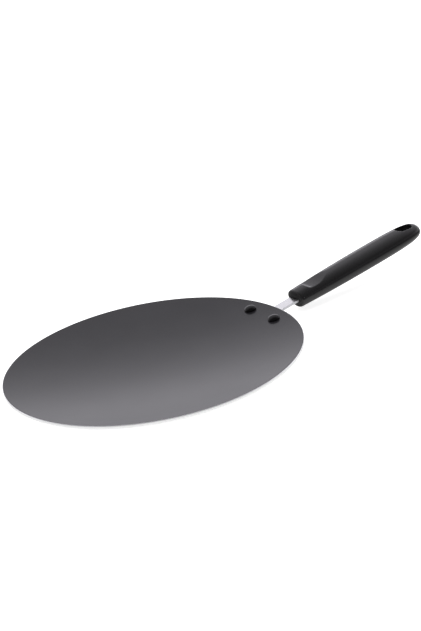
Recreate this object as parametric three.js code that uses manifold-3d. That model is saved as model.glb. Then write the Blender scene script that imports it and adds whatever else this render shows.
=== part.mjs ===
// A tawa: a round dished aluminium plate, a flat steel strip riveted under its rim, and a moulded
// phenolic grip that one screw holds on the strip's tongue.
// Millimetres, +Z up, +X towards the grip. The origin is the centre of the flat base.

import * as THREE from 'three';
import { mergeVertices } from 'three/addons/utils/BufferGeometryUtils.js';
import Module from 'manifold-3d';

const wasm = await Module();
wasm.setup();

// Fits
const seatGap = 0.3;           // between two faces that rest on each other
const holeGap = 0.3;           // all round a shank in its hole
const pocketGap = 0.35;        // all round the strip inside the grip

// Plate
const plateRadius = 140;
const dishDepth = 10;          // centre of the cooking face below the rim
const baseThickness = 3.2;
const rimThickness = 2.8;
const rimRound = 0.5;
const baseRadius = 50;         // flat that stands on the hob

// Rivets
const rivetInset = 16.3;       // rivet line to the rim
const rivetSpacing = 39.5;
const shankRadius = 3;
const headRadius = 5.9;
const headHeight = 3.7;
const headEdge = 0.7;          // height of the head's straight edge
const tailRadius = 4.8;
const tailHeight = 2.2;
const tailChamfer = 1.2;

// Strip
const stripThickness = 2.4;
const stripWidth = 13.6;
const freeLength = 22.6;       // bare strip between the rim and the grip
const stripLift = 1;           // step up outside the rim
const liftStart = 0.5;         // beyond the rim
const liftRun = 5;
const footLength = 19;
const footMargin = 8;          // foot beyond each rivet's centre
const footCorner = 9;
const neckFillet = 10;
const shoulderDepth = 4.2;     // full width carried into the grip
const shoulderCorner = 1.8;
const tongueWidth = 9;
const tongueBeyond = 12;       // tongue's end behind the screw
const tongueCorner = 3;
const cornerLimit = 0.9;       // most of an edge that a rounded corner may take

// Grip
const gripLength = 162.4;
const gripFrontRadius = 8.95;  // half the height of a section
const noseLength = 2.4;        // rounded front, from its tip to the full section
const noseFullness = 0.4;      // 0 for a pointed front, 1 for a flat one
const gripBellyRadius = 10.5;
const gripBellyAt = 98;        // thickest place behind the front
const gripSwell = 0.7;         // how soon the front swells towards the belly
const gripTaper = 0.85;        // how far towards the tip the belly's height is held
const tipFullness = 0.91;      // 0 for a pointed tip, 1 for a blunt one
const gripOval = 1.4;          // width of a section over its height

// Thumb rest and hanging hole
const thumbFront = 14;         // behind the grip's front, like the next two
const thumbDeepest = 21.5;
const thumbEnd = 48;
const thumbDepth = 2.8;
const hangLength = 18.5;
const hangWidth = 13.4;
const hangInset = 7.6;         // solid end behind the hole

// Screw and washer
const screwAt = 46;            // behind the grip's front
const screwRadius = 2.5;
const screwBeyond = 1.5;       // screw's end above the strip
const screwHeadRadius = 4.2;
const screwHeadHeight = 2.6;
const screwHeadChamfer = 1.2;
const driveWidth = 1.2;
const driveDepth = 1.3;
const clampThickness = 3.2;    // grip material between the strip and the washer
const washerRadius = 4.2;
const washerThickness = 1.1;
const washerSplit = 0.8;

// Fineness of the round surfaces
const plateSegments = 96;
const gripSegments = 36;
const smallSegments = 24;
const arcSteps = 5;
const rimSteps = 2;
const dishSteps = 8;

// What follows from the sizes above
const rimTop = baseThickness + dishDepth;
const rimBottom = rimTop - rimThickness;
const faceRadius = (plateRadius ** 2 + dishDepth ** 2) / (2 * dishDepth);
const faceCentre = baseThickness + faceRadius;
const undersideCentre = (rimBottom ** 2 + plateRadius ** 2 - baseRadius ** 2) / (2 * rimBottom);
const undersideRadius = Math.hypot(undersideCentre, baseRadius);

// The strip lies on the plane that touches the underside at the rivet line, and the grip follows it.
const rivetReach = plateRadius - rivetInset;
const slope = Math.asin(rivetReach / undersideRadius);
const seatHeight = undersideCentre - Math.sqrt(undersideRadius ** 2 - rivetReach ** 2);
const stripTop = -seatGap;
const stripMiddle = stripTop - stripThickness / 2;
const stripBottom = stripTop - stripThickness;
const rimEdge = rivetInset / Math.cos(slope);
const gripFront = rimEdge + freeLength;
const tongueDepth = screwAt + tongueBeyond;
const gripAxis = stripMiddle + stripLift;

// Heights in the grip, above its axis, which is also the middle of the strip's tongue.
const screwSeat = -stripThickness / 2 - pocketGap - clampThickness;
const washerTop = screwSeat - seatGap;
const screwHeadTop = washerTop - washerThickness - seatGap;
const screwEnd = stripThickness / 2 + screwBeyond;

// Solids

function solidOf(geometry) {
  const bare = geometry.index ? geometry.toNonIndexed() : geometry.clone();
  bare.deleteAttribute('normal');
  bare.deleteAttribute('uv');
  const merged = mergeVertices(bare, 1e-4);
  const corners = merged.index.array;
  const triangles = [];
  for (let i = 0; i < corners.length; i += 3) {
    const [a, b, c] = corners.slice(i, i + 3);
    if (a !== b && b !== c && c !== a) triangles.push(a, b, c);
  }
  const mesh = new wasm.Mesh({
    numProp: 3,
    vertProperties: new Float32Array(merged.attributes.position.array),
    triVerts: new Uint32Array(triangles),
  });
  return new wasm.Manifold(mesh);
}

function geometryOf(solid) {
  const mesh = solid.getMesh();
  const geometry = new THREE.BufferGeometry();
  geometry.setAttribute('position', new THREE.BufferAttribute(mesh.vertProperties, 3));
  geometry.setIndex(new THREE.BufferAttribute(mesh.triVerts, 1));
  geometry.computeVertexNormals();
  return geometry;
}

function cut(geometry, cutters) {
  let solid = solidOf(geometry);
  for (const cutter of cutters) solid = solid.subtract(solidOf(cutter));
  return geometryOf(solid);
}

function named(name, geometry, colour, roughness, metalness) {
  const material = new THREE.MeshStandardMaterial({ color: colour, roughness, metalness });
  const mesh = new THREE.Mesh(geometry, material);
  mesh.name = name;
  return mesh;
}

// A lathe profile turned about Z. Its points run from the lowest to the highest on the outside.
function turned(points, segments) {
  return new THREE.LatheGeometry(points, segments).rotateX(Math.PI / 2);
}

// A round bar along Z between two heights.
function bar(radius, from, to) {
  const geometry = new THREE.CylinderGeometry(radius, radius, to - from, smallSegments);
  return geometry.rotateX(Math.PI / 2).translate(0, 0, (from + to) / 2);
}

function box(from, to) {
  const size = to.clone().sub(from);
  const middle = from.clone().add(to).multiplyScalar(0.5);
  return new THREE.BoxGeometry(size.x, size.y, size.z).translate(middle.x, middle.y, middle.z);
}

// An outline drawn up along Z from height 0.
function prism(outline, height, curveSegments) {
  return new THREE.ExtrudeGeometry(outline, { depth: height, bevelEnabled: false, curveSegments });
}

// A corner's radius, held under the length of the edge that it rounds.
function fitted(radius, edge) {
  return Math.min(radius, cornerLimit * edge);
}

// A closed outline whose corners, given as x, y and radius, are rounded by arcs.
function roundedShape(corners) {
  const shape = new THREE.Shape();
  corners.forEach(([x, y, radius], i) => {
    const here = new THREE.Vector2(x, y);
    const before = new THREE.Vector2(...corners.at(i - 1)).sub(here).normalize();
    const after = new THREE.Vector2(...corners[(i + 1) % corners.length]).sub(here).normalize();
    const half = Math.acos(before.dot(after)) / 2;
    const reach = radius / Math.tan(half);
    const centre = before.clone().add(after).normalize().multiplyScalar(radius / Math.sin(half)).add(here);
    const start = before.multiplyScalar(reach).add(here).sub(centre).angle();
    const end = after.multiplyScalar(reach).add(here).sub(centre).angle();
    const clockwise = Math.sin(end - start) < 0;
    shape.absarc(centre.x, centre.y, radius, start, end, clockwise);
  });
  return shape;
}

// Where the rivet's axis, a line along the strip's normal, meets the cooking face.
function faceAboveSeat(side) {
  const normal = new THREE.Vector3(-Math.sin(slope), 0, Math.cos(slope));
  const seat = new THREE.Vector3(rivetReach, side * rivetSpacing / 2, seatHeight);
  const fromCentre = seat.sub(new THREE.Vector3(0, 0, faceCentre));
  const along = fromCentre.dot(normal);
  return -along - Math.sqrt(along ** 2 - fromCentre.lengthSq() + faceRadius ** 2);
}

// The frame of the strip: origin on the underside at the rivet line, X out along the strip.
const tang = new THREE.Group();
tang.position.set(rivetReach, 0, seatHeight);
tang.rotation.y = -slope;
tang.updateMatrix();

// The frame of the grip: origin in the middle of its front end, X along its axis.
const hand = new THREE.Group();
hand.position.set(gripFront, 0, gripAxis);

// Plate

function platePoint(centre, radius, reach) {
  return new THREE.Vector2(reach, centre - Math.sqrt(radius ** 2 - reach ** 2));
}

function tawaPlate() {
  const points = [new THREE.Vector2(0, 0)];
  for (let i = 0; i <= dishSteps; i += 1) {
    const reach = baseRadius + (plateRadius - rimRound - baseRadius) * i / dishSteps;
    points.push(platePoint(undersideCentre, undersideRadius, reach));
  }
  const lower = points.at(-1).y + rimRound;
  const upper = platePoint(faceCentre, faceRadius, plateRadius - rimRound).y - rimRound;
  for (let i = 1; i <= rimSteps; i += 1) {
    const turn = -Math.PI / 2 + Math.PI / 2 * i / rimSteps;
    const out = plateRadius - rimRound + rimRound * Math.cos(turn);
    points.push(new THREE.Vector2(out, lower + rimRound * Math.sin(turn)));
  }
  for (let i = 0; i < rimSteps; i += 1) {
    const turn = Math.PI / 2 * i / rimSteps;
    const out = plateRadius - rimRound + rimRound * Math.cos(turn);
    points.push(new THREE.Vector2(out, upper + rimRound * Math.sin(turn)));
  }
  for (let i = dishSteps; i >= 0; i -= 1) {
    points.push(platePoint(faceCentre, faceRadius, (plateRadius - rimRound) * i / dishSteps));
  }
  const holes = [-1, 1].map((side) => {
    const hole = bar(shankRadius + holeGap, stripBottom, headHeight + rimTop);
    return hole.translate(0, side * rivetSpacing / 2, 0).applyMatrix4(tang.matrix);
  });
  return cut(turned(points, plateSegments), holes);
}

// Strip

// The strip seen from its side: flat under the plate, then one smooth step up outside the rim.
function stripEdge(back, end) {
  const start = rimEdge + liftStart;
  const middle = start + liftRun / 2;
  const stop = start + liftRun;
  const outline = new THREE.Shape();
  outline.moveTo(back, stripBottom);
  outline.lineTo(start, stripBottom);
  outline.bezierCurveTo(middle, stripBottom, middle, stripBottom + stripLift, stop, stripBottom + stripLift);
  outline.lineTo(end, stripBottom + stripLift);
  outline.lineTo(end, stripTop + stripLift);
  outline.lineTo(stop, stripTop + stripLift);
  outline.bezierCurveTo(middle, stripTop + stripLift, middle, stripTop, start, stripTop);
  outline.lineTo(back, stripTop);
  return outline;
}

function handleStrip() {
  const foot = rivetSpacing / 2 + footMargin;
  const back = -footLength / 2;
  const front = footLength / 2;
  const neck = stripWidth / 2;
  const tongue = tongueWidth / 2;
  const shoulder = gripFront + shoulderDepth;
  const end = gripFront + tongueDepth;
  const footRound = fitted(footCorner, footLength / 2);
  const neckRound = fitted(neckFillet, foot - footRound - neck);
  const shoulderRound = fitted(shoulderCorner, neck - tongue);
  const rightHalf = [
    [back, -foot, footRound],
    [front, -foot, footRound],
    [front, -neck, neckRound],
    [shoulder, -neck, shoulderRound],
    [shoulder, -tongue, fitted(pocketGap, neck - tongue - shoulderRound)],
    [end, -tongue, fitted(tongueCorner, tongue)],
  ];
  const leftHalf = rightHalf.map(([x, y, radius]) => [x, -y, radius]).reverse();
  const outline = roundedShape([...rightHalf, ...leftHalf]);
  const low = stripBottom - stripThickness;
  const high = stripTop + stripLift + stripThickness;
  const blank = prism(outline, high - low, arcSteps).translate(0, 0, low);
  const sheet = prism(stripEdge(2 * back, 2 * end), 4 * foot, arcSteps);
  sheet.translate(0, 0, -2 * foot).rotateX(Math.PI / 2);
  const bent = geometryOf(solidOf(blank).intersect(solidOf(sheet)));
  const rivetHoles = [-1, 1].map((side) => (
    bar(shankRadius + holeGap, low, high).translate(0, side * rivetSpacing / 2, 0)
  ));
  const screwHole = bar(screwRadius + holeGap, low, high).translate(gripFront + screwAt, 0, 0);
  return cut(bent, [...rivetHoles, screwHole]);
}

// Rivets

function rivet(side) {
  const seat = faceAboveSeat(side) + seatGap;
  const tailTop = stripBottom - seatGap;
  const tailBottom = tailTop - tailHeight;
  const points = [
    new THREE.Vector2(0, tailBottom),
    new THREE.Vector2(tailRadius - tailChamfer, tailBottom),
    new THREE.Vector2(tailRadius, tailBottom + tailChamfer),
    new THREE.Vector2(tailRadius, tailTop),
    new THREE.Vector2(shankRadius, tailTop),
    new THREE.Vector2(shankRadius, seat),
    new THREE.Vector2(headRadius, seat),
  ];
  const dome = headHeight - headEdge;
  for (let i = 0; i <= arcSteps; i += 1) {
    const turn = Math.PI / 2 * i / arcSteps;
    const out = i === arcSteps ? 0 : headRadius * Math.cos(turn);
    points.push(new THREE.Vector2(out, seat + headEdge + dome * Math.sin(turn)));
  }
  return turned(points, smallSegments).translate(0, side * rivetSpacing / 2, 0);
}

// Grip

// Half of the grip's length section: radius against distance behind the front.
function gripProfile() {
  const swell = THREE.MathUtils.lerp(gripFrontRadius, gripBellyRadius, gripSwell);
  const rise = (gripBellyAt - noseLength) / 3;
  const run = gripLength - gripBellyAt;
  const path = new THREE.Path();
  path.moveTo(0, 0);
  path.bezierCurveTo(
    gripFrontRadius * noseFullness, 0,
    gripFrontRadius, noseLength * (1 - noseFullness) / 3,
    gripFrontRadius, noseLength,
  );
  path.bezierCurveTo(
    swell, noseLength + rise,
    gripBellyRadius, gripBellyAt - rise,
    gripBellyRadius, gripBellyAt,
  );
  path.bezierCurveTo(
    gripBellyRadius, gripBellyAt + run * gripTaper,
    gripBellyRadius * tipFullness, gripLength,
    0, gripLength,
  );
  return path.getPoints(dishSteps);
}

function gripRadiusAt(distance) {
  const points = gripProfile();
  const next = points.findIndex((point) => point.y >= distance);
  const from = points[next - 1];
  const share = (distance - from.y) / (points[next].y - from.y);
  return THREE.MathUtils.lerp(from.x, points[next].x, share);
}

// A pocket for the strip, with room all round it, between two distances behind the front.
function stripPocket(width, start, end) {
  const wide = width / 2 + pocketGap;
  const high = stripThickness / 2 + pocketGap;
  const from = new THREE.Vector3(start, -wide, -high);
  const to = new THREE.Vector3(end + pocketGap, wide, high);
  return box(from, to);
}

function screwBores() {
  const outside = -gripBellyRadius - screwHeadHeight;
  const counterbore = bar(Math.max(screwHeadRadius, washerRadius) + holeGap, outside, screwSeat);
  const bore = bar(screwRadius + holeGap, outside, screwEnd + seatGap);
  return [counterbore.translate(screwAt, 0, 0), bore.translate(screwAt, 0, 0)];
}

// A scoop across the top that drops steeply at its front and runs out gently behind.
function thumbRest() {
  const width = 4 * gripBellyRadius * gripOval;
  const above = 2 * gripBellyRadius;
  const floor = gripRadiusAt(thumbDeepest) - thumbDepth;
  const drop = (thumbDeepest - thumbFront) / 2;
  const runout = (thumbEnd - thumbDeepest) / 2;
  const start = gripRadiusAt(thumbFront);
  const stop = gripRadiusAt(thumbEnd);
  const outline = new THREE.Shape();
  outline.moveTo(thumbFront, above);
  outline.lineTo(thumbFront, start);
  outline.bezierCurveTo(thumbFront + drop / 2, floor, thumbDeepest - drop, floor, thumbDeepest, floor);
  outline.bezierCurveTo(thumbDeepest + runout, floor, thumbEnd - runout, stop, thumbEnd, stop);
  outline.lineTo(thumbEnd, above);
  const scoop = prism(outline, width, 2 * arcSteps);
  return scoop.rotateX(Math.PI / 2).translate(0, width / 2, 0);
}

function hangingHole() {
  const height = 4 * gripBellyRadius;
  const outline = new THREE.Shape();
  const straight = (hangLength - hangWidth) / 2;
  outline.absarc(straight, 0, hangWidth / 2, -Math.PI / 2, Math.PI / 2, false);
  outline.absarc(-straight, 0, hangWidth / 2, Math.PI / 2, 3 * Math.PI / 2, false);
  const through = prism(outline, height, 2 * arcSteps);
  return through.translate(gripLength - hangInset - hangLength / 2, 0, -height / 2);
}

function handleGrip() {
  const body = new THREE.LatheGeometry(gripProfile(), gripSegments);
  body.rotateZ(-Math.PI / 2).scale(1, gripOval, 1);
  const mouth = stripPocket(stripWidth, -noseLength, shoulderDepth);
  const socket = stripPocket(tongueWidth, 0, tongueDepth);
  return cut(body, [mouth, socket, ...screwBores(), thumbRest(), hangingHole()]);
}

// Screw and washer, in the grip's frame

function handleScrew() {
  const bottom = screwHeadTop - screwHeadHeight;
  const points = [
    new THREE.Vector2(0, bottom),
    new THREE.Vector2(screwHeadRadius - screwHeadChamfer, bottom),
    new THREE.Vector2(screwHeadRadius, bottom + screwHeadChamfer),
    new THREE.Vector2(screwHeadRadius, screwHeadTop),
    new THREE.Vector2(screwRadius, screwHeadTop),
    new THREE.Vector2(screwRadius, screwEnd),
    new THREE.Vector2(0, screwEnd),
  ];
  const drive = box(
    new THREE.Vector3(-screwHeadRadius, -driveWidth / 2, bottom - driveDepth),
    new THREE.Vector3(screwHeadRadius, driveWidth / 2, bottom + driveDepth),
  );
  return cut(turned(points, smallSegments), [drive]).translate(screwAt, 0, 0);
}

function screwWasher() {
  const inner = screwRadius + holeGap;
  const bottom = washerTop - washerThickness;
  const points = [
    new THREE.Vector2(inner, bottom),
    new THREE.Vector2(washerRadius, bottom),
    new THREE.Vector2(washerRadius, washerTop),
    new THREE.Vector2(inner, washerTop),
    new THREE.Vector2(inner, bottom),
  ];
  const split = box(
    new THREE.Vector3(0, -washerSplit / 2, bottom - washerThickness),
    new THREE.Vector3(2 * washerRadius, washerSplit / 2, washerTop + washerThickness),
  );
  return cut(turned(points, smallSegments), [split]).translate(screwAt, 0, 0);
}

// The assembly

const tawa = new THREE.Group();
tawa.add(named('tawa_plate', tawaPlate(), 0x5c5c5e, 0.5, 0.3), tang);
tang.add(
  named('handle_strip', handleStrip(), 0xd9d9dc, 0.25, 1),
  named('rivet_left', rivet(1), 0x141314, 0.3, 0.2),
  named('rivet_right', rivet(-1), 0x141314, 0.3, 0.2),
  hand,
);
hand.add(
  named('handle_grip', handleGrip(), 0x1f1f20, 0.4, 0),
  named('handle_screw', handleScrew(), 0xbfc0c2, 0.35, 1),
  named('screw_washer', screwWasher(), 0xa9abad, 0.4, 1),
);

export default tawa;
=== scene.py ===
# A tawa: a round dished plate with a non-stick cooking face, a riveted steel strip and a moulded grip.
# Metres, +Z up, +X along the handle. The origin is the centre of the plate's flat base.

import math

import bmesh
import bpy
from mathutils import Matrix, Vector
from mathutils.geometry import interpolate_bezier


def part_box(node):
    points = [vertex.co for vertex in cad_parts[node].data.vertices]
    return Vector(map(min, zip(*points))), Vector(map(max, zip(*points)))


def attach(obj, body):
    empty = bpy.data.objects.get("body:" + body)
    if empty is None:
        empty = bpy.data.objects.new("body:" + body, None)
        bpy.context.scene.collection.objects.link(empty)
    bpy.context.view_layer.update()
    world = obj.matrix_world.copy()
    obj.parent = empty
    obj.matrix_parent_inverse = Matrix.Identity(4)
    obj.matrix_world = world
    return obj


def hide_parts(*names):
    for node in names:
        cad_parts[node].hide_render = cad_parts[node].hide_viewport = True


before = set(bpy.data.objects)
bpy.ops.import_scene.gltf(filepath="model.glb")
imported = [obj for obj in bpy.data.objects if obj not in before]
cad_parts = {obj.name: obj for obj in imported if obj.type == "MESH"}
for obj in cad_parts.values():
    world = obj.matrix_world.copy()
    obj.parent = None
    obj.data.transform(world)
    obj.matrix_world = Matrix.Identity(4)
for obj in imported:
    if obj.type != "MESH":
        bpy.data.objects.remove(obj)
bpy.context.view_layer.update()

MM = 0.001

# Plate, with its radius from the frame
PLATE_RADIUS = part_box("tawa_plate")[1].x
BASE_THICKNESS = 3.2 * MM
DISH_DEPTH = 10 * MM
RIM_THICKNESS = 2.8 * MM
RIM_ROUND = 0.5 * MM
BASE_RADIUS = 50 * MM
BASE_ROUND = 1.8 * MM  # eased edge between the flat base and the underside
RIM_TOP = BASE_THICKNESS + DISH_DEPTH
RIM_BOTTOM = RIM_TOP - RIM_THICKNESS
FACE_RADIUS = (PLATE_RADIUS ** 2 + DISH_DEPTH ** 2) / (2 * DISH_DEPTH)
FACE_CENTRE = BASE_THICKNESS + FACE_RADIUS
UNDER_CENTRE = (RIM_BOTTOM ** 2 + PLATE_RADIUS ** 2 - BASE_RADIUS ** 2) / (2 * RIM_BOTTOM)
UNDER_RADIUS = math.hypot(UNDER_CENTRE, BASE_RADIUS)

# Rivets
RIVET_INSET = 16.3 * MM
RIVET_SPACING = 39.5 * MM
SHANK_RADIUS = 3 * MM
HEAD_RADIUS = 5.9 * MM
HEAD_HEIGHT = 3.7 * MM
HEAD_EDGE = 0.7 * MM
TAIL_RADIUS = 4.8 * MM
TAIL_HEIGHT = 2.2 * MM
TAIL_ROUND = 1.2 * MM

# Strip
SEAT_GAP = 0.3 * MM
STRIP_THICKNESS = 2.4 * MM
STRIP_WIDTH = 13.6 * MM
STRIP_EDGE = 0.3 * MM
FREE_LENGTH = 22.6 * MM
STRIP_LIFT = 1 * MM
LIFT_START = 0.5 * MM
LIFT_RUN = 5 * MM
FOOT_LENGTH = 19 * MM
FOOT_MARGIN = 8 * MM
FOOT_CORNER = 8.5 * MM
NECK_FILLET = 10 * MM
SHOULDER_DEPTH = 4.2 * MM
SHOULDER_CORNER = 1.8 * MM
SHOULDER_FILLET = 0.35 * MM
TONGUE_WIDTH = 9 * MM
TONGUE_DEPTH = 58 * MM
TONGUE_CORNER = 3 * MM

# Grip
POCKET_GAP = 0.35 * MM
GRIP_LENGTH = 162.4 * MM
GRIP_FRONT = 8.95 * MM
GRIP_BELLY = 10.5 * MM
GRIP_BELLY_AT = 98 * MM
GRIP_OVAL = 1.4
GRIP_SWELL = 0.7
GRIP_TAPER = 0.85
TIP_FULLNESS = 0.91
NOSE_LENGTH = 2.4 * MM
NOSE_FULLNESS = 0.4
THUMB_FRONT = 14 * MM
THUMB_DEEPEST = 21.5 * MM
THUMB_END = 48 * MM
THUMB_DEPTH = 2.8 * MM
HANG_LENGTH = 18.5 * MM
HANG_WIDTH = 13.4 * MM
HANG_INSET = 7.6 * MM
HANG_ROUND = 0.98  # end radius over half the hole's width, under 1 so that two rounds don't meet

# Softening of the grip's edges
GRIP_VOXEL = 0.45 * MM
REMESH_GROWTH = 0.1 * MM  # by which remeshing lengthens the grip
SOFT_FACTOR = 0.5
SOFT_PASSES = 8
HOLE_PASSES = 24
HOLE_EASE = 3 * MM  # how far before the hole its extra softening starts

# Screw and washer
SCREW_AT = 46 * MM
SCREW_RADIUS = 2.5 * MM
SCREW_BEYOND = 1.5 * MM
SCREW_HEAD_RADIUS = 4.2 * MM
SCREW_HEAD_HEIGHT = 2.6 * MM
DRIVE_WIDTH = 1.2 * MM
DRIVE_DEPTH = 1.3 * MM
CLAMP_THICKNESS = 3.2 * MM
WASHER_RADIUS = 4.2 * MM
WASHER_THICKNESS = 1.1 * MM
WASHER_SPLIT = math.radians(11)
WASHER_EDGE = 0.12 * MM

# Fineness of the round surfaces
PLATE_TURNS = 384
FACE_STEPS = 72
UNDER_STEPS = 44
RIM_SEGMENTS = 4
BASE_SEGMENTS = 5
CORNER_SEGMENTS = 8
EDGE_SEGMENTS = 2
LIFT_SLICES = 12
RIVET_TURNS = 64
HEAD_STEPS = 14
TAIL_SEGMENTS = 5
GRIP_TURNS = 96
OUTLINE_POINTS = (14, 36, 36)  # on the grip's nose, swell and tail
DROP_POINTS = 16
RUNOUT_POINTS = 24
HANG_SEGMENTS = 14
SCREW_TURNS = 48
CROWN_SEGMENTS = 5
WASHER_STEPS = 44

# An edge that turns by more degrees than this shades sharp. On the strip it is less than the first step of
# its bevels, so that the flat faces shade flat.
PLATE_SHARP = 15
STRIP_SHARP = 20
RIVET_SHARP = 40
GRIP_SHARP = 80
FASTENER_SHARP = 35

# Choosing edges and faces
CREASE = 60  # degrees, past which an edge counts as a corner
TOUCH = MM / 100  # within which two heights or radii count as one
FACING_UP = 0.95  # least upward part of the normal on the cooking face
ROLLED_FACE = 0.5  # the same on the strip's rolled faces, up or down

# Most of a noise lies between these two values.
NOISE_LOW = 0.3
NOISE_HIGH = 0.7

# The strip's frame lies on the underside at the rivet line, and the grip's frame at its front on its axis.
RIVET_REACH = PLATE_RADIUS - RIVET_INSET
SLOPE = math.asin(RIVET_REACH / UNDER_RADIUS)
SEAT_HEIGHT = UNDER_CENTRE - math.sqrt(UNDER_RADIUS ** 2 - RIVET_REACH ** 2)
STRIP_TOP = -SEAT_GAP
STRIP_BOTTOM = STRIP_TOP - STRIP_THICKNESS
RIM_EDGE = RIVET_INSET / math.cos(SLOPE)
GRIP_START = RIM_EDGE + FREE_LENGTH
GRIP_AXIS = (STRIP_TOP + STRIP_BOTTOM) / 2 + STRIP_LIFT
STRIP_FRAME = Matrix.Translation((RIVET_REACH, 0, SEAT_HEIGHT)) @ Matrix.Rotation(-SLOPE, 4, "Y")
GRIP_FRAME = STRIP_FRAME @ Matrix.Translation((GRIP_START, 0, GRIP_AXIS))
SCREW_SEAT = -STRIP_THICKNESS / 2 - POCKET_GAP - CLAMP_THICKNESS
WASHER_TOP = SCREW_SEAT - SEAT_GAP
SCREW_HEAD_TOP = WASHER_TOP - WASHER_THICKNESS - SEAT_GAP


# Mesh helpers

def chain(bm, start, points):
    """Draws a line of edges from a vertex through points and returns its last vertex."""
    for point in points:
        made = bmesh.ops.extrude_vert_indiv(bm, verts=[start])
        start = made["verts"][0]
        start.co = point
    return start


def arc(bm, start, centre, angle, steps):
    """Draws an arc of edges in the XZ plane from a vertex, away from the axis where angle is positive."""
    made = bmesh.ops.spin(bm, geom=[start], cent=centre, axis=(0, -1, 0), angle=angle, steps=steps)
    return next(part for part in made["geom_last"] if isinstance(part, bmesh.types.BMVert))


def spin_round(bm, axis, steps):
    """Turns a profile right round an axis through the origin."""
    profile = bm.verts[:] + bm.edges[:]
    bmesh.ops.spin(bm, geom=profile, cent=(0, 0, 0), axis=axis, angle=math.tau, steps=steps, use_merge=True)
    bmesh.ops.remove_doubles(bm, verts=bm.verts[:], dist=1e-6)
    bmesh.ops.recalc_face_normals(bm, faces=bm.faces[:])


def bevel(bm, parts, offset, segments, affect="EDGES"):
    bmesh.ops.bevel(
        bm, geom=parts, offset=offset, offset_type="OFFSET", segments=segments,
        profile=0.5, affect=affect, material=-1, clamp_overlap=True,
    )


def sharp_edges(bm):
    return [e for e in bm.edges if e.is_manifold and e.calc_face_angle() > math.radians(CREASE)]


def sharp_edges_at(bm, height):
    return [e for e in sharp_edges(bm) if all(abs(v.co.z - height) < TOUCH for v in e.verts)]


def ring_edges(bm, radius, height):
    """Edges of a ring about the Z axis."""
    def on_ring(point):
        return abs(point.xy.length - radius) < TOUCH and abs(point.z - height) < TOUCH

    return [e for e in bm.edges if all(on_ring(v.co) for v in e.verts)]


def block(low, high):
    """A box between two corners."""
    bm = bmesh.new()
    low, high = Vector(low), Vector(high)
    bmesh.ops.create_cube(bm, size=1)
    bmesh.ops.scale(bm, vec=high - low, verts=bm.verts[:])
    bmesh.ops.translate(bm, vec=(low + high) / 2, verts=bm.verts[:])
    return bm


def rod(radius, low, high, segments=48):
    """A round bar along Z between two heights."""
    bm = bmesh.new()
    bmesh.ops.create_cone(
        bm, cap_ends=True, segments=segments, radius1=radius, radius2=radius, depth=high - low,
    )
    bmesh.ops.translate(bm, vec=(0, 0, (low + high) / 2), verts=bm.verts[:])
    return bm


def moved(bm, matrix):
    bmesh.ops.transform(bm, matrix=matrix, verts=bm.verts[:])
    return bm


def object_from(bm, name, materials=()):
    mesh = bpy.data.meshes.new(name)
    bm.to_mesh(mesh)
    bm.free()
    for material in materials:
        mesh.materials.append(material)
    made = bpy.data.objects.new(name, mesh)
    bpy.context.scene.collection.objects.link(made)
    return made


def settle(made):
    """Replaces an object's mesh by what its modifiers make of it, and removes the modifiers."""
    depsgraph = bpy.context.evaluated_depsgraph_get()
    final = bpy.data.meshes.new_from_object(made.evaluated_get(depsgraph))
    made.modifiers.clear()
    old = made.data
    made.data = final
    bpy.data.meshes.remove(old)


def cut(made, cutters):
    """Takes the cutters' shapes out of an object."""
    tools = [object_from(bm, "cutter") for bm in cutters]
    for tool in tools:
        difference = made.modifiers.new("cut", "BOOLEAN")
        difference.operation = "DIFFERENCE"
        difference.solver = "EXACT"
        difference.object = tool
    settle(made)
    for tool in tools:
        mesh = tool.data
        bpy.data.objects.remove(tool)
        bpy.data.meshes.remove(mesh)


def finish_piece(made, node, smooth_degrees):
    """Shades a piece, and stands it in for its node."""
    made.data.shade_smooth()
    made.data.set_sharp_from_angle(angle=math.radians(smooth_degrees))
    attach(made, "root")
    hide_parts(node)


# Material helpers

def srgb(code):
    """Linear red, green, blue and alpha of an sRGB hex colour."""
    parts = [int(code[i:i + 2], 16) / 255 for i in (1, 3, 5)]
    linear = [p / 12.92 if p <= 0.04045 else ((p + 0.055) / 1.055) ** 2.4 for p in parts]
    return (*linear, 1)


def add(tree, kind, inputs, **settings):
    """Adds a node with its settings, and sets or links its inputs."""
    made = tree.nodes.new(kind)
    for name, value in settings.items():
        setattr(made, name, value)
    for name, value in inputs.items():
        if isinstance(value, bpy.types.NodeSocket):
            tree.links.new(value, made.inputs[name])
        else:
            made.inputs[name].default_value = value
    return made


def new_material(name):
    material = bpy.data.materials.new(name)
    material.use_nodes = True
    material.node_tree.nodes.clear()
    return material, material.node_tree


def per_metre(size):
    """Scale of a noise whose features are about this size."""
    return 1 / size


# Finishes

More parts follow.
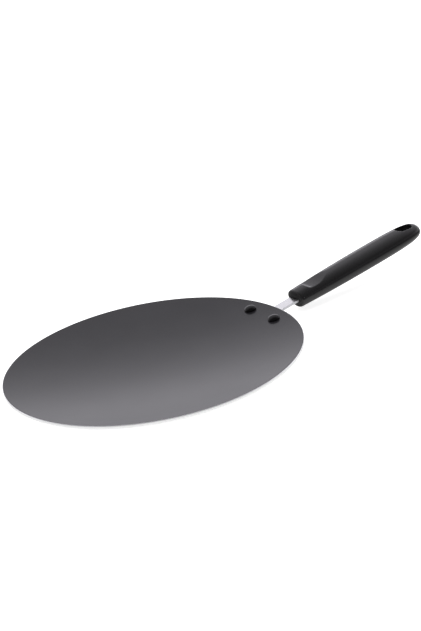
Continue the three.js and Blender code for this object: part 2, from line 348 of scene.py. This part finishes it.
def non_stick_coating():
    """Sprayed and baked non-stick film: dark grey, satin, with a fine orange-peel grain."""
    material, tree = new_material("non_stick_coating")
    place = add(tree, "ShaderNodeTexCoord", {}).outputs["Object"]
    # A film's grain is about 0.1 mm. It is drawn at 0.5 mm so that it shows.
    grain = add(tree, "ShaderNodeTexNoise", {"Vector": place, "Scale": per_metre(0.5 * MM), "Detail": 2})
    cloud = add(tree, "ShaderNodeTexNoise", {"Vector": place, "Scale": per_metre(35 * MM), "Detail": 3})
    shade = add(tree, "ShaderNodeMixRGB", {
        "Fac": cloud.outputs["Fac"], "Color1": srgb("#1f1e21"), "Color2": srgb("#262528"),
    })
    rough = add(tree, "ShaderNodeMapRange", {
        "Value": cloud.outputs["Fac"], "From Min": NOISE_LOW, "From Max": NOISE_HIGH,
        "To Min": 0.14, "To Max": 0.18,
    })
    relief = add(tree, "ShaderNodeBump", {
        "Height": grain.outputs["Fac"], "Strength": 0.06, "Distance": 0.1 * MM,
    })
    shader = add(tree, "ShaderNodeBsdfPrincipled", {
        "Base Color": shade.outputs["Color"], "Roughness": rough.outputs["Result"],
        "Normal": relief.outputs["Normal"], "IOR": 1.33,
    })
    add(tree, "ShaderNodeOutputMaterial", {"Surface": shader.outputs["BSDF"]})
    return material


def turned_aluminium():
    """Bare aluminium turned on a lathe: bright, with fine rings about the plate's centre."""
    material, tree = new_material("turned_aluminium")
    place = add(tree, "ShaderNodeTexCoord", {}).outputs["Object"]
    flat = add(tree, "ShaderNodeVectorMath", {0: place, 1: (1, 1, 0)}, operation="MULTIPLY")
    reach = add(tree, "ShaderNodeVectorMath", {0: flat.outputs["Vector"]}, operation="LENGTH")
    # A finishing cut leaves rings about 0.15 mm apart. They are drawn 0.9 mm apart so that they show.
    turns = add(tree, "ShaderNodeTexNoise", {
        "W": reach.outputs["Value"], "Scale": per_metre(0.9 * MM), "Detail": 3,
    }, noise_dimensions="1D")
    rough = add(tree, "ShaderNodeMapRange", {
        "Value": turns.outputs["Fac"], "From Min": NOISE_LOW, "From Max": NOISE_HIGH,
        "To Min": 0.24, "To Max": 0.38,
    })
    relief = add(tree, "ShaderNodeBump", {
        "Height": turns.outputs["Fac"], "Strength": 0.15, "Distance": 0.1 * MM,
    })
    shader = add(tree, "ShaderNodeBsdfPrincipled", {
        "Base Color": srgb("#f2f2f2"), "Metallic": 1, "Roughness": rough.outputs["Result"],
        "Normal": relief.outputs["Normal"],
    })
    add(tree, "ShaderNodeOutputMaterial", {"Surface": shader.outputs["BSDF"]})
    return material


def rolled_stainless():
    """Cold-rolled stainless strip: bright, with faint scratches along its length."""
    material, tree = new_material("rolled_stainless")
    place = add(tree, "ShaderNodeTexCoord", {}).outputs["Object"]
    # Rolling lines are a few hundredths of a millimetre wide. They are drawn 0.4 mm wide so that they show.
    along = add(tree, "ShaderNodeMapping", {
        "Vector": place, "Rotation": (0, SLOPE, 0), "Scale": (0.02, 1, 0.2),
    })
    lines = add(tree, "ShaderNodeTexNoise", {
        "Vector": along.outputs["Vector"], "Scale": per_metre(0.4 * MM), "Detail": 2,
    })
    rough = add(tree, "ShaderNodeMapRange", {
        "Value": lines.outputs["Fac"], "From Min": NOISE_LOW, "From Max": NOISE_HIGH,
        "To Min": 0.18, "To Max": 0.24,
    })
    relief = add(tree, "ShaderNodeBump", {
        "Height": lines.outputs["Fac"], "Strength": 0.05, "Distance": 0.05 * MM,
    })
    shader = add(tree, "ShaderNodeBsdfPrincipled", {
        "Base Color": srgb("#fafafb"), "Metallic": 1, "Roughness": rough.outputs["Result"],
        "Normal": relief.outputs["Normal"],
    })
    add(tree, "ShaderNodeOutputMaterial", {"Surface": shader.outputs["BSDF"]})
    return material


def sheared_edge():
    """Blanked edge of the strip: duller and greyer than the rolled face, with upright shear marks."""
    material, tree = new_material("sheared_edge")
    place = add(tree, "ShaderNodeTexCoord", {}).outputs["Object"]
    upright = add(tree, "ShaderNodeMapping", {"Vector": place, "Scale": (1, 1, 0.1)})
    marks = add(tree, "ShaderNodeTexNoise", {
        "Vector": upright.outputs["Vector"], "Scale": per_metre(0.5 * MM), "Detail": 2,
    })
    shade = add(tree, "ShaderNodeMixRGB", {
        "Fac": marks.outputs["Fac"], "Color1": srgb("#d8d9dc"), "Color2": srgb("#e6e7ea"),
    })
    shader = add(tree, "ShaderNodeBsdfPrincipled", {
        "Base Color": shade.outputs["Color"], "Metallic": 1, "Roughness": 0.45,
    })
    add(tree, "ShaderNodeOutputMaterial", {"Surface": shader.outputs["BSDF"]})
    return material


def black_rivet_coat():
    """Baked black coat on a formed rivet head: gloss, with a slight orange peel."""
    material, tree = new_material("black_rivet_coat")
    place = add(tree, "ShaderNodeTexCoord", {}).outputs["Object"]
    peel = add(tree, "ShaderNodeTexNoise", {"Vector": place, "Scale": per_metre(0.8 * MM), "Detail": 2})
    relief = add(tree, "ShaderNodeBump", {
        "Height": peel.outputs["Fac"], "Strength": 0.05, "Distance": 0.1 * MM,
    })
    shader = add(tree, "ShaderNodeBsdfPrincipled", {
        "Base Color": srgb("#0b0a0b"), "Roughness": 0.1, "Normal": relief.outputs["Normal"], "IOR": 1.3,
    })
    add(tree, "ShaderNodeOutputMaterial", {"Surface": shader.outputs["BSDF"]})
    return material


def moulded_phenolic():
    """Compression-moulded black phenolic: satin, faint flow marks, a fine grain and a matt front end."""
    material, tree = new_material("moulded_phenolic")
    place = add(tree, "ShaderNodeTexCoord", {}).outputs["Object"]
    flow = add(tree, "ShaderNodeMapping", {"Vector": place, "Rotation": (0, SLOPE, 0), "Scale": (0.3, 1, 1)})
    marks = add(tree, "ShaderNodeTexNoise", {
        "Vector": flow.outputs["Vector"], "Scale": per_metre(12 * MM), "Detail": 4,
    })
    # The tool's grain is about 0.1 mm. It is drawn at 0.4 mm so that it shows.
    grain = add(tree, "ShaderNodeTexNoise", {"Vector": place, "Scale": per_metre(0.4 * MM), "Detail": 2})
    shade = add(tree, "ShaderNodeMixRGB", {
        "Fac": marks.outputs["Fac"], "Color1": srgb("#141414"), "Color2": srgb("#1a191a"),
    })
    satin = add(tree, "ShaderNodeMapRange", {
        "Value": marks.outputs["Fac"], "From Min": NOISE_LOW, "From Max": NOISE_HIGH,
        "To Min": 0.2, "To Max": 0.26,
    })
    # The flat front end, where the moulding is trimmed, is matt.
    front = GRIP_FRAME.translation
    axis = GRIP_FRAME.col[0].to_3d()
    inward = add(tree, "ShaderNodeVectorMath", {0: place, 1: axis}, operation="DOT_PRODUCT")
    rough = add(tree, "ShaderNodeMapRange", {
        "Value": inward.outputs["Value"], "From Min": front.dot(axis) + NOSE_LENGTH / 4,
        "From Max": front.dot(axis) + NOSE_LENGTH, "To Min": 0.75, "To Max": satin.outputs["Result"],
    })
    relief = add(tree, "ShaderNodeBump", {
        "Height": grain.outputs["Fac"], "Strength": 0.06, "Distance": 0.1 * MM,
    })
    shader = add(tree, "ShaderNodeBsdfPrincipled", {
        "Base Color": shade.outputs["Color"], "Roughness": rough.outputs["Result"],
        "Normal": relief.outputs["Normal"], "IOR": 1.5,
    })
    add(tree, "ShaderNodeOutputMaterial", {"Surface": shader.outputs["BSDF"]})
    return material


def zinc_plate():
    """Zinc-plated steel: pale, slightly blotched, semi-bright."""
    material, tree = new_material("zinc_plate")
    place = add(tree, "ShaderNodeTexCoord", {}).outputs["Object"]
    blotch = add(tree, "ShaderNodeTexNoise", {"Vector": place, "Scale": per_metre(1.5 * MM), "Detail": 3})
    shade = add(tree, "ShaderNodeMixRGB", {
        "Fac": blotch.outputs["Fac"], "Color1": srgb("#b4b6b9"), "Color2": srgb("#cdced0"),
    })
    rough = add(tree, "ShaderNodeMapRange", {
        "Value": blotch.outputs["Fac"], "From Min": NOISE_LOW, "From Max": NOISE_HIGH,
        "To Min": 0.28, "To Max": 0.42,
    })
    shader = add(tree, "ShaderNodeBsdfPrincipled", {
        "Base Color": shade.outputs["Color"], "Metallic": 1, "Roughness": rough.outputs["Result"],
    })
    add(tree, "ShaderNodeOutputMaterial", {"Surface": shader.outputs["BSDF"]})
    return material


# Pieces

def plate():
    """Spherical cooking face, square rim with eased edges, spherical underside and a flat base."""
    bm = bmesh.new()
    start = bm.verts.new((0, 0, BASE_THICKNESS))
    rim = arc(bm, start, (0, 0, FACE_CENTRE), math.asin(PLATE_RADIUS / FACE_RADIUS), FACE_STEPS)
    foot = chain(bm, rim, [(PLATE_RADIUS, 0, RIM_BOTTOM)])
    sweep = math.asin(PLATE_RADIUS / UNDER_RADIUS) - math.asin(BASE_RADIUS / UNDER_RADIUS)
    base = arc(bm, foot, (0, 0, UNDER_CENTRE), -sweep, UNDER_STEPS)
    chain(bm, base, [(BASE_RADIUS / 2, 0, 0), (0, 0, 0)])
    spin_round(bm, (0, 0, 1), PLATE_TURNS)
    rim_edges = ring_edges(bm, PLATE_RADIUS, RIM_TOP) + ring_edges(bm, PLATE_RADIUS, RIM_BOTTOM)
    bevel(bm, rim_edges, RIM_ROUND, RIM_SEGMENTS)
    bevel(bm, ring_edges(bm, BASE_RADIUS, 0), BASE_ROUND, BASE_SEGMENTS)
    for face in bm.faces:
        inside_rim = face.calc_center_median().xy.length < PLATE_RADIUS - RIM_ROUND
        face.material_index = 0 if face.normal.z > FACING_UP and inside_rim else 1
    made = object_from(bm, "griddle_plate", [non_stick_coating(), turned_aluminium()])
    cut(made, [
        moved(rod(SHANK_RADIUS + SEAT_GAP, -RIM_TOP, RIM_TOP), STRIP_FRAME @ Matrix.Translation((0, y, 0)))
        for y in (-RIVET_SPACING / 2, RIVET_SPACING / 2)
    ])
    finish_piece(made, "tawa_plate", PLATE_SHARP)


def strip():
    """Blanked strip with a cross foot, a neck and a tongue, stepped up once outside the rim."""
    foot = RIVET_SPACING / 2 + FOOT_MARGIN
    neck = STRIP_WIDTH / 2
    tongue = TONGUE_WIDTH / 2
    shoulder = GRIP_START + SHOULDER_DEPTH
    end = GRIP_START + TONGUE_DEPTH
    half = [
        (-FOOT_LENGTH / 2, foot, FOOT_CORNER),
        (FOOT_LENGTH / 2, foot, FOOT_CORNER),
        (FOOT_LENGTH / 2, neck, NECK_FILLET),
        (shoulder, neck, SHOULDER_CORNER),
        (shoulder, tongue, SHOULDER_FILLET),
        (end, tongue, TONGUE_CORNER),
    ]
    corners = half + [(x, -y, r) for x, y, r in reversed(half)]
    bm = bmesh.new()
    verts = [bm.verts.new((x, y, STRIP_BOTTOM)) for x, y, _ in corners]
    bm.faces.new(verts)
    for radius in sorted({r for _, _, r in corners}):
        rounded = [v for v, (_, _, r) in zip(verts, corners) if r == radius]
        bevel(bm, rounded, radius, CORNER_SEGMENTS, affect="VERTICES")
    made = bmesh.ops.extrude_face_region(bm, geom=bm.faces[:])
    raised = [v for v in made["geom"] if isinstance(v, bmesh.types.BMVert)]
    bmesh.ops.translate(bm, vec=(0, 0, STRIP_THICKNESS), verts=raised)
    bmesh.ops.recalc_face_normals(bm, faces=bm.faces[:])
    for face in bm.faces:
        face.material_index = 0 if abs(face.normal.z) > ROLLED_FACE else 1
    bevel(bm, sharp_edges(bm), STRIP_EDGE, EDGE_SEGMENTS)
    start = RIM_EDGE + LIFT_START
    for i in range(LIFT_SLICES + 1):
        at = start + LIFT_RUN * i / LIFT_SLICES
        bmesh.ops.bisect_plane(
            bm, geom=bm.verts[:] + bm.edges[:] + bm.faces[:], plane_co=(at, 0, 0), plane_no=(1, 0, 0),
        )
    for vert in bm.verts:
        share = min(max((vert.co.x - start) / LIFT_RUN, 0), 1)
        vert.co.z += STRIP_LIFT * share * share * (3 - 2 * share)
    materials = [rolled_stainless(), sheared_edge()]
    strip_piece = object_from(moved(bm, STRIP_FRAME), "handle_strip_formed", materials)
    low = STRIP_BOTTOM - STRIP_THICKNESS
    high = STRIP_TOP + STRIP_LIFT + STRIP_THICKNESS
    holes = [(0, -RIVET_SPACING / 2, SHANK_RADIUS), (0, RIVET_SPACING / 2, SHANK_RADIUS)]
    holes.append((GRIP_START + SCREW_AT, 0, SCREW_RADIUS))
    cut(strip_piece, [
        moved(rod(radius + SEAT_GAP, low, high), STRIP_FRAME @ Matrix.Translation((x, y, 0)))
        for x, y, radius in holes
    ])
    finish_piece(strip_piece, "handle_strip", STRIP_SHARP)


def rivet(name, node, side, coat):
    """Domed head on the cooking face, shank through the plate and the strip, and a formed tail."""
    # The head's seat is where the shank's line meets the sphere of the cooking face.
    normal = Vector((-math.sin(SLOPE), 0, math.cos(SLOPE)))
    seat_point = Vector((RIVET_REACH, side * RIVET_SPACING / 2, SEAT_HEIGHT - FACE_CENTRE))
    along = seat_point.dot(normal)
    seat = -along - math.sqrt(along ** 2 - seat_point.length_squared + FACE_RADIUS ** 2) + SEAT_GAP
    tail_top = STRIP_BOTTOM - SEAT_GAP
    tail_bottom = tail_top - TAIL_HEIGHT
    bm = bmesh.new()
    crown = bm.verts.new((0, 0, -1))
    edge = arc(bm, crown, (0, 0, 0), math.pi / 2, HEAD_STEPS)
    bmesh.ops.scale(bm, vec=(HEAD_RADIUS, 1, -(HEAD_HEIGHT - HEAD_EDGE)), verts=bm.verts[:])
    bmesh.ops.translate(bm, vec=(0, 0, seat + HEAD_EDGE), verts=bm.verts[:])
    chain(bm, edge, [
        (HEAD_RADIUS, 0, seat),
        (SHANK_RADIUS, 0, seat),
        (SHANK_RADIUS, 0, tail_top),
        (TAIL_RADIUS, 0, tail_top),
        (TAIL_RADIUS, 0, tail_bottom),
        (0, 0, tail_bottom),
    ])
    spin_round(bm, (0, 0, 1), RIVET_TURNS)
    bevel(bm, sharp_edges_at(bm, tail_bottom), TAIL_ROUND, TAIL_SEGMENTS)
    moved(bm, STRIP_FRAME @ Matrix.Translation((0, side * RIVET_SPACING / 2, 0)))
    finish_piece(object_from(bm, name, [coat]), node, RIVET_SHARP)


def grip_outline():
    """Half-heights of the grip along its length: a rounded nose, a slow swell and a full tip."""
    rise = (GRIP_BELLY_AT - NOSE_LENGTH) / 3
    swell = GRIP_FRONT + (GRIP_BELLY - GRIP_FRONT) * GRIP_SWELL
    run = GRIP_LENGTH - GRIP_BELLY_AT
    curves = [
        [(0, 0, 0), (0, 0, GRIP_FRONT * NOSE_FULLNESS),
         (NOSE_LENGTH * (1 - NOSE_FULLNESS) / 3, 0, GRIP_FRONT), (NOSE_LENGTH, 0, GRIP_FRONT)],
        [(NOSE_LENGTH, 0, GRIP_FRONT), (NOSE_LENGTH + rise, 0, swell),
         (GRIP_BELLY_AT - rise, 0, GRIP_BELLY), (GRIP_BELLY_AT, 0, GRIP_BELLY)],
        [(GRIP_BELLY_AT, 0, GRIP_BELLY), (GRIP_BELLY_AT + run * GRIP_TAPER, 0, GRIP_BELLY),
         (GRIP_LENGTH, 0, GRIP_BELLY * TIP_FULLNESS), (GRIP_LENGTH, 0, 0)],
    ]
    points = [Vector((0, 0, 0))]
    for knots, count in zip(curves, OUTLINE_POINTS):
        points += interpolate_bezier(*[Vector(k) for k in knots], count)[1:]
    return points


def height_at(points, distance):
    after = next(i for i, p in enumerate(points) if p.x >= distance)
    low, high = points[after - 1], points[after]
    return low.z + (high.z - low.z) * (distance - low.x) / (high.x - low.x)


def strip_pocket(width, start, end):
    """A pocket for the strip, with room all round it, between two distances behind the front."""
    wide = width / 2 + POCKET_GAP
    high = STRIP_THICKNESS / 2 + POCKET_GAP
    return block((start, -wide, -high), (end + POCKET_GAP, wide, high))


def thumb_scoop(points):
    """A scoop across the top that drops steeply at its front and runs out gently behind."""
    wide = 2 * GRIP_BELLY * GRIP_OVAL
    above = 2 * GRIP_BELLY
    floor = height_at(points, THUMB_DEEPEST) - THUMB_DEPTH
    drop = (THUMB_DEEPEST - THUMB_FRONT) / 2
    runout = (THUMB_END - THUMB_DEEPEST) / 2
    start = height_at(points, THUMB_FRONT)
    stop = height_at(points, THUMB_END)
    falling = [(THUMB_FRONT, 0, start), (THUMB_FRONT + drop / 2, 0, floor),
               (THUMB_DEEPEST - drop, 0, floor), (THUMB_DEEPEST, 0, floor)]
    rising = [(THUMB_DEEPEST, 0, floor), (THUMB_DEEPEST + runout, 0, floor),
              (THUMB_END - runout, 0, stop), (THUMB_END, 0, stop)]
    profile = interpolate_bezier(*[Vector(k) for k in falling], DROP_POINTS)
    profile += interpolate_bezier(*[Vector(k) for k in rising], RUNOUT_POINTS)[1:]
    profile += [Vector((THUMB_END, 0, above)), Vector((THUMB_FRONT, 0, above))]
    bm = bmesh.new()
    side = bm.faces.new([bm.verts.new(p - Vector((0, wide, 0))) for p in profile])
    made = bmesh.ops.extrude_face_region(bm, geom=[side])
    far = [v for v in made["geom"] if isinstance(v, bmesh.types.BMVert)]
    bmesh.ops.translate(bm, vec=(0, 2 * wide, 0), verts=far)
    bmesh.ops.recalc_face_normals(bm, faces=bm.faces[:])
    return bm


def hanging_hole():
    """A long hole with round ends, straight through the grip's tail."""
    middle = GRIP_LENGTH - HANG_INSET - HANG_LENGTH / 2
    half = HANG_LENGTH / 2
    low = (middle - half, -HANG_WIDTH / 2, -2 * GRIP_BELLY)
    high = (middle + half, HANG_WIDTH / 2, 2 * GRIP_BELLY)
    bm = block(low, high)
    upright = [e for e in bm.edges if abs(e.verts[0].co.z - e.verts[1].co.z) > GRIP_BELLY]
    bevel(bm, upright, HANG_WIDTH / 2 * HANG_ROUND, HANG_SEGMENTS)
    return bm


def grip():
    """Moulded grip. Its cut edges are softened by remeshing the whole form finely and smoothing it."""
    points = grip_outline()
    bm = bmesh.new()
    chain(bm, bm.verts.new(points[0]), points[1:])
    spin_round(bm, (1, 0, 0), GRIP_TURNS)
    bmesh.ops.scale(bm, vec=(1 - REMESH_GROWTH / GRIP_LENGTH, GRIP_OVAL, 1), verts=bm.verts[:])
    made = object_from(bm, "handle_grip_moulded", [moulded_phenolic()])
    to_screw = Matrix.Translation((SCREW_AT, 0, 0))
    outside = -2 * GRIP_BELLY
    screw_end = STRIP_THICKNESS / 2 + SCREW_BEYOND + SEAT_GAP
    cut(made, [
        strip_pocket(STRIP_WIDTH, -NOSE_LENGTH, SHOULDER_DEPTH),
        strip_pocket(TONGUE_WIDTH, 0, TONGUE_DEPTH),
        moved(rod(SCREW_HEAD_RADIUS + SEAT_GAP, outside, SCREW_SEAT), to_screw),
        moved(rod(SCREW_RADIUS + SEAT_GAP, outside, screw_end), to_screw),
        thumb_scoop(points),
        hanging_hole(),
    ])
    fine = made.modifiers.new("fine", "REMESH")
    fine.mode = "VOXEL"
    fine.voxel_size = GRIP_VOXEL
    soft = made.modifiers.new("soft", "SMOOTH")
    soft.factor = SOFT_FACTOR
    soft.iterations = SOFT_PASSES
    settle(made)
    near_hole = made.vertex_groups.new(name="near_hole")
    hole_start = GRIP_LENGTH - HANG_INSET - HANG_LENGTH - HOLE_EASE
    near_hole.add([v.index for v in made.data.vertices if v.co.x > hole_start], 1, "REPLACE")
    ease = made.modifiers.new("ease", "SMOOTH")
    ease.factor = SOFT_FACTOR
    ease.iterations = HOLE_PASSES
    ease.vertex_group = "near_hole"
    settle(made)
    made.data.transform(GRIP_FRAME)
    finish_piece(made, "handle_grip", GRIP_SHARP)


def screw(finish):
    """Pan-head machine screw with a straight drive slot, up through the grip into the tongue."""
    bottom = SCREW_HEAD_TOP - SCREW_HEAD_HEIGHT
    end = STRIP_THICKNESS / 2 + SCREW_BEYOND
    bm = bmesh.new()
    chain(bm, bm.verts.new((0, 0, bottom)), [
        (SCREW_HEAD_RADIUS, 0, bottom),
        (SCREW_HEAD_RADIUS, 0, SCREW_HEAD_TOP),
        (SCREW_RADIUS, 0, SCREW_HEAD_TOP),
        (SCREW_RADIUS, 0, end),
        (0, 0, end),
    ])
    spin_round(bm, (0, 0, 1), SCREW_TURNS)
    bevel(bm, sharp_edges_at(bm, bottom), SCREW_HEAD_HEIGHT / 2, CROWN_SEGMENTS)
    made = object_from(bm, "grip_screw", [finish])
    cut(made, [block(
        (-2 * SCREW_HEAD_RADIUS, -DRIVE_WIDTH / 2, bottom - DRIVE_DEPTH),
        (2 * SCREW_HEAD_RADIUS, DRIVE_WIDTH / 2, bottom + DRIVE_DEPTH),
    )])
    made.data.transform(GRIP_FRAME @ Matrix.Translation((SCREW_AT, 0, 0)))
    finish_piece(made, "handle_screw", FASTENER_SHARP)


def washer(finish):
    """Split spring washer: a square wire bent round the screw, with its two ends apart."""
    inner = SCREW_RADIUS + SEAT_GAP
    bottom = WASHER_TOP - WASHER_THICKNESS
    bm = bmesh.new()
    section = [
        (inner, 0, bottom), (WASHER_RADIUS, 0, bottom),
        (WASHER_RADIUS, 0, WASHER_TOP), (inner, 0, WASHER_TOP),
    ]
    wire = bm.faces.new([bm.verts.new(p) for p in section])
    bmesh.ops.rotate(bm, matrix=Matrix.Rotation(WASHER_SPLIT / 2, 3, "Z"), verts=bm.verts[:])
    bmesh.ops.spin(
        bm, geom=[wire, *wire.edges, *wire.verts], axis=(0, 0, 1),
        angle=math.tau - WASHER_SPLIT, steps=WASHER_STEPS,
    )
    bmesh.ops.recalc_face_normals(bm, faces=bm.faces[:])
    bevel(bm, sharp_edges(bm), WASHER_EDGE, EDGE_SEGMENTS)
    moved(bm, GRIP_FRAME @ Matrix.Translation((SCREW_AT, 0, 0)))
    made = object_from(bm, "spring_washer", [finish])
    finish_piece(made, "screw_washer", FASTENER_SHARP)


# Camera, floor and light

# The camera's place comes from the rim's ellipse in a picture of 421 by 631 pixels.
PICTURE_HEIGHT = 631
FOCAL_PIXELS = 1338.7
VIEW_AZIMUTH = math.radians(-29.4)
VIEW_ELEVATION = math.radians(21.29)
VIEW_ROLL = math.radians(-9.68)
VIEW_DISTANCE = 1300 * MM
AIM_RIGHT = 58.4 * MM
AIM_FORWARD = 74.9 * MM
SENSOR = 36
VIEW_REACH = 100

# Brightness of the backdrop against the height of the direction looked in, as shares of its peak.
BACKDROP_PEAK = 1.65
BACKDROP_BANDS = [
    (0, 0.6), (0.17, 0.76), (0.26, 0.98), (0.35, 0.73), (0.43, 0.56),
    (0.5, 0.45), (0.57, 0.44), (0.7, 0.62), (0.85, 0.52), (1, 0.25),
]

# The backdrop is full behind the object and fades overhead to the room in front.
# The fade runs between two values of the forward part of the direction looked in.
FADE_END = -0.4
FADE_START = 0.5
ROOM_SHARE = 0.18
FILL = 0.55

# Floor: its lift for the camera and in reflections, and the distance over which reflections lose it to a
# painted falloff of light
FLOOR_REACH = 9
FLOOR_LIFT = 0.75
FLOOR_MIRRORED = 0.2
SWEEP_NEAR = 30 * MM
SWEEP_FAR = 220 * MM

# Overhead lamp
LAMP_SIZE = 2
LAMP_POWER = 20
LAMP_PLACE = (0.1, 0, 1.8)

FORWARD = Vector((-math.sin(VIEW_AZIMUTH), math.cos(VIEW_AZIMUTH), 0))
SIDEWAYS = Vector((math.cos(VIEW_AZIMUTH), math.sin(VIEW_AZIMUTH), 0))


def camera():
    back = Vector((0, 0, math.sin(VIEW_ELEVATION))) - FORWARD * math.cos(VIEW_ELEVATION)
    level_up = back.cross(SIDEWAYS)
    right = SIDEWAYS * math.cos(VIEW_ROLL) + level_up * math.sin(VIEW_ROLL)
    up = back.cross(right)
    aim = SIDEWAYS * AIM_RIGHT + FORWARD * AIM_FORWARD + Vector((0, 0, RIM_TOP))
    data = bpy.data.cameras.new("camera")
    data.sensor_width = SENSOR
    data.lens = FOCAL_PIXELS * SENSOR / PICTURE_HEIGHT
    data.clip_end = VIEW_REACH
    made = bpy.data.objects.new("camera", data)
    turn = Matrix((right, up, back)).transposed().to_4x4()
    made.matrix_world = Matrix.Translation(aim + back * VIEW_DISTANCE) @ turn
    bpy.context.scene.collection.objects.link(made)
    bpy.context.scene.camera = made


def floor():
    """White sweep. What the camera and reflections see of it is lifted to white, apart from the shadow. In
    reflections it is painted darker further from the object.
    """
    bm = bmesh.new()
    bmesh.ops.create_grid(bm, x_segments=1, y_segments=1, size=FLOOR_REACH)
    made = object_from(bm, "floor")
    material, tree = new_material("white_sweep")
    path = add(tree, "ShaderNodeLightPath", {})
    mirrored = add(tree, "ShaderNodeMath", {
        0: path.outputs["Is Glossy Ray"], 1: FLOOR_MIRRORED,
    }, operation="MULTIPLY")
    lift = add(tree, "ShaderNodeMath", {
        0: path.outputs["Is Camera Ray"], 1: FLOOR_LIFT, 2: mirrored.outputs["Value"],
    }, operation="MULTIPLY_ADD")
    glow = add(tree, "ShaderNodeEmission", {"Color": srgb("#ffffff"), "Strength": lift.outputs["Value"]})
    matt = add(tree, "ShaderNodeBsdfDiffuse", {"Color": srgb("#efefef")})
    both = add(tree, "ShaderNodeAddShader", {0: glow.outputs["Emission"], 1: matt.outputs["BSDF"]})
    # In reflections the sweep is painted darker with distance: a painted falloff from the lit floor close to
    # the object to a darker grey further off.
    far = add(tree, "ShaderNodeMapRange", {
        "Value": path.outputs["Ray Length"], "From Min": SWEEP_NEAR, "From Max": SWEEP_FAR,
    })
    dim = add(tree, "ShaderNodeMath", {
        0: path.outputs["Is Glossy Ray"], 1: far.outputs["Result"],
    }, operation="MULTIPLY")
    # Painted shade: the grey that reflections see of the far floor, standing in for a dimmer room.
    room = add(tree, "ShaderNodeBsdfDiffuse", {"Color": srgb("#505050")})
    sweep = add(tree, "ShaderNodeMixShader", {
        "Fac": dim.outputs["Value"], 1: both.outputs["Shader"], 2: room.outputs["BSDF"],
    })
    add(tree, "ShaderNodeOutputMaterial", {"Surface": sweep.outputs["Shader"]})
    made.data.materials.append(material)


def studio():
    """A white backdrop behind the object, a darker room above and in front, and one soft overhead lamp."""
    world = bpy.data.worlds.new("studio")
    world.use_nodes = True
    tree = world.node_tree
    tree.nodes.clear()
    way = add(tree, "ShaderNodeTexCoord", {}).outputs["Generated"]
    behind = add(tree, "ShaderNodeVectorMath", {0: way, 1: FORWARD}, operation="DOT_PRODUCT")
    above = add(tree, "ShaderNodeSeparateXYZ", {"Vector": way})
    backdrop = add(tree, "ShaderNodeMapRange", {
        "Value": behind.outputs["Value"], "From Min": FADE_END, "From Max": FADE_START,
        "To Min": ROOM_SHARE, "To Max": 1,
    }, interpolation_type="SMOOTHSTEP")
    bands = add(tree, "ShaderNodeFloatCurve", {"Value": above.outputs["Z"]})
    line = bands.mapping.curves[0].points
    line[0].location = BACKDROP_BANDS[0]
    line[1].location = BACKDROP_BANDS[-1]
    for height, share in BACKDROP_BANDS[1:-1]:
        line.new(height, share)
    bands.mapping.update()
    room = add(tree, "ShaderNodeMath", {
        0: backdrop.outputs["Result"], 1: bands.outputs["Value"],
    }, operation="MULTIPLY")
    lit = add(tree, "ShaderNodeMath", {0: room.outputs["Value"], 1: BACKDROP_PEAK}, operation="MULTIPLY")
    path = add(tree, "ShaderNodeLightPath", {})
    fill = add(tree, "ShaderNodeMapRange", {
        "Value": path.outputs["Is Glossy Ray"], "To Min": FILL, "To Max": lit.outputs["Value"],
    })
    strength = add(tree, "ShaderNodeMath", {
        0: path.outputs["Is Camera Ray"], 1: fill.outputs["Result"],
    }, operation="MAXIMUM")
    tone = add(tree, "ShaderNodeMixRGB", {
        "Fac": path.outputs["Is Glossy Ray"], "Color1": srgb("#ffffff"), "Color2": srgb("#faf8ff"),
    })
    sky = add(tree, "ShaderNodeBackground", {
        "Color": tone.outputs["Color"], "Strength": strength.outputs["Value"],
    })
    add(tree, "ShaderNodeOutputWorld", {"Surface": sky.outputs["Background"]})
    bpy.context.scene.world = world
    lamp = bpy.data.lights.new("overhead", "AREA")
    lamp.shape = "SQUARE"
    lamp.size = LAMP_SIZE
    lamp.energy = LAMP_POWER
    made = bpy.data.objects.new("overhead", lamp)
    made.matrix_world = Matrix.Translation(LAMP_PLACE)
    made.visible_glossy = False
    bpy.context.scene.collection.objects.link(made)


def main():
    bpy.context.scene.view_settings.view_transform = "Standard"
    camera()
    floor()
    studio()
    plate()
    strip()
    coat = black_rivet_coat()
    rivet("rivet_domed_left", "rivet_left", 1, coat)
    rivet("rivet_domed_right", "rivet_right", -1, coat)
    grip()
    zinc = zinc_plate()
    screw(zinc)
    washer(zinc)


main()
